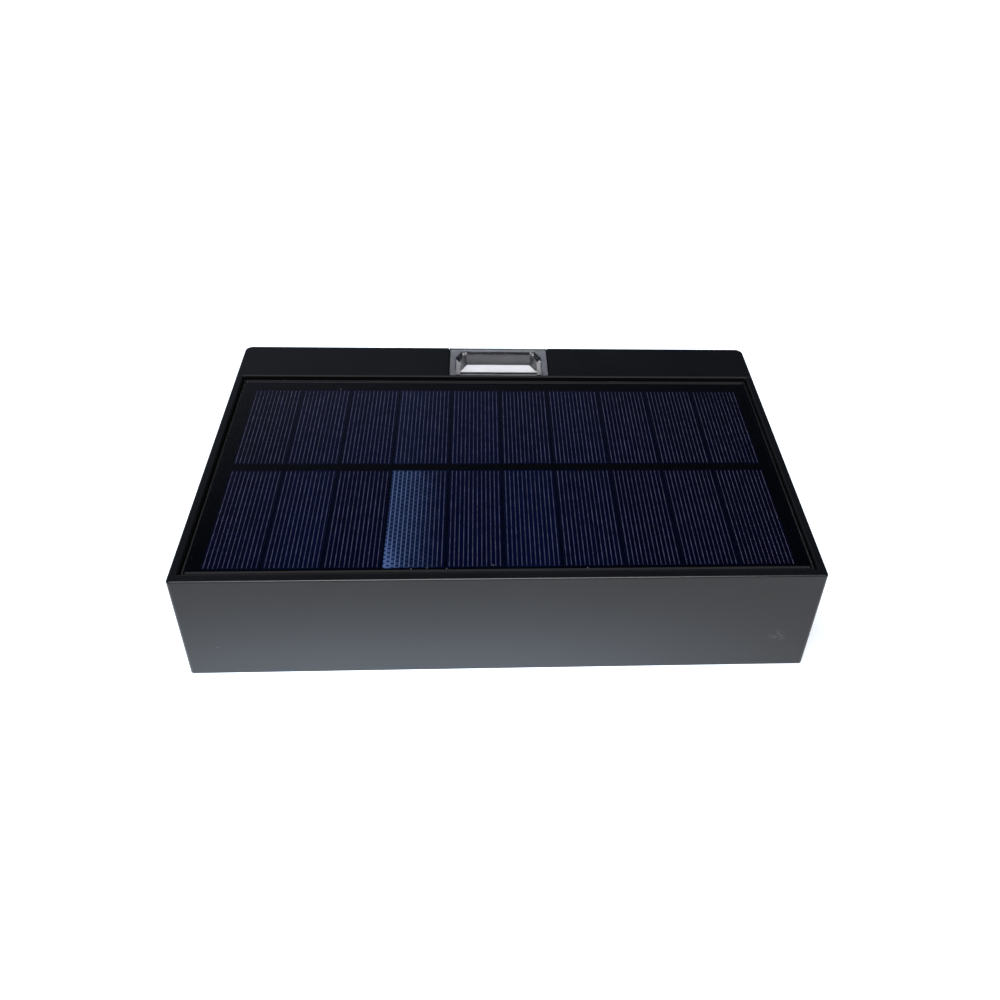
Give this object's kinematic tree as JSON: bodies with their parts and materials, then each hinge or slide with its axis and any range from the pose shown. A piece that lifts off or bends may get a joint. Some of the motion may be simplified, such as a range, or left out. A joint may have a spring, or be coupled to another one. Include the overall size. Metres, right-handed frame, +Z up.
{
  "type": "solar fence light",
  "caption": "Low rectangular solar fence light: panel on top, clear lamp windows beside the fence above and below, keyholes in the back wall and a push button underneath.",
  "frame": {"origin": "middle of the underside, the face the light stands on", "axes": "+X along the fence, +Y from the front face to the fence, +Z up to the solar panel"},
  "size_m": [0.172, 0.11, 0.036],
  "materials": {
    "black_plastic": "satin moulded ABS, fine grain",
    "cover_plastic": "satin moulded ABS, fine grain",
    "cup_plastic": "moulded ABS",
    "silicone": "silicone rubber",
    "steel": "zinc plated",
    "clear_film": "clear satin film",
    "silicon": "dark blue silicon with fine silver lines",
    "panel_black": "black solder mask",
    "foam_tape": "foam tape",
    "clear_plastic": "clear moulded polycarbonate",
    "white_plastic": "white moulded ABS",
    "white_board": "white solder mask",
    "led_phosphor": "white package with yellow phosphor",
    "red_wire": "PVC insulation",
    "white_wire": "PVC insulation",
    "cell_wrap": "shrink sleeve over the cell's can",
    "holder_plastic": "moulded nylon",
    "nickel": "nickel plated spring strip",
    "green_board": "green solder mask",
    "black_epoxy": "moulded epoxy",
    "ferrite": "ferrite drum core",
    "can_aluminium": "printed sleeve removed, bare can",
    "switch_plastic": "moulded nylon",
    "button_plastic": "moulded ABS"
  },
  "bodies": {
    "light": {"housing": "black_plastic", "base_cover": "cover_plastic", "base_seal": "silicone", "cover_screws": "steel", "keyhole_cups": "cup_plastic", "panel_film": "clear_film", "solar_cells": "silicon", "panel_board": "panel_black", "panel_tape": "foam_tape", "panel_leads": "red_wire", "upper_lens": "clear_plastic", "lower_lens": "clear_plastic", "upper_reflector": "white_plastic", "lower_reflector": "white_plastic", "upper_led_board": "white_board", "lower_led_board": "white_board", "upper_led": "led_phosphor", "lower_led": "led_phosphor", "upper_led_screws": "steel", "lower_led_screws": "steel", "upper_led_leads": "white_wire", "lower_led_leads": "white_wire", "battery_cell": "cell_wrap", "battery_holder": "holder_plastic", "battery_contacts": "nickel", "battery_leads": "red_wire", "holder_screws": "steel", "control_board": "green_board", "charge_chip": "black_epoxy", "inductor": "ferrite", "capacitors": "can_aluminium", "board_screws": "steel", "switch_body": "switch_plastic"},
    "button": {"push_button": "button_plastic", "button_ring": "silicone", "switch_plunger": "white_plastic"}
  },
  "joints": [
    {"name": "button_press", "type": "slide", "parent": "light", "child": "button", "axis": [0, 0, 1], "range_m": [0, 0.0012], "stiffness_N_per_m": 500, "springref_m": -0.002}
  ]
}
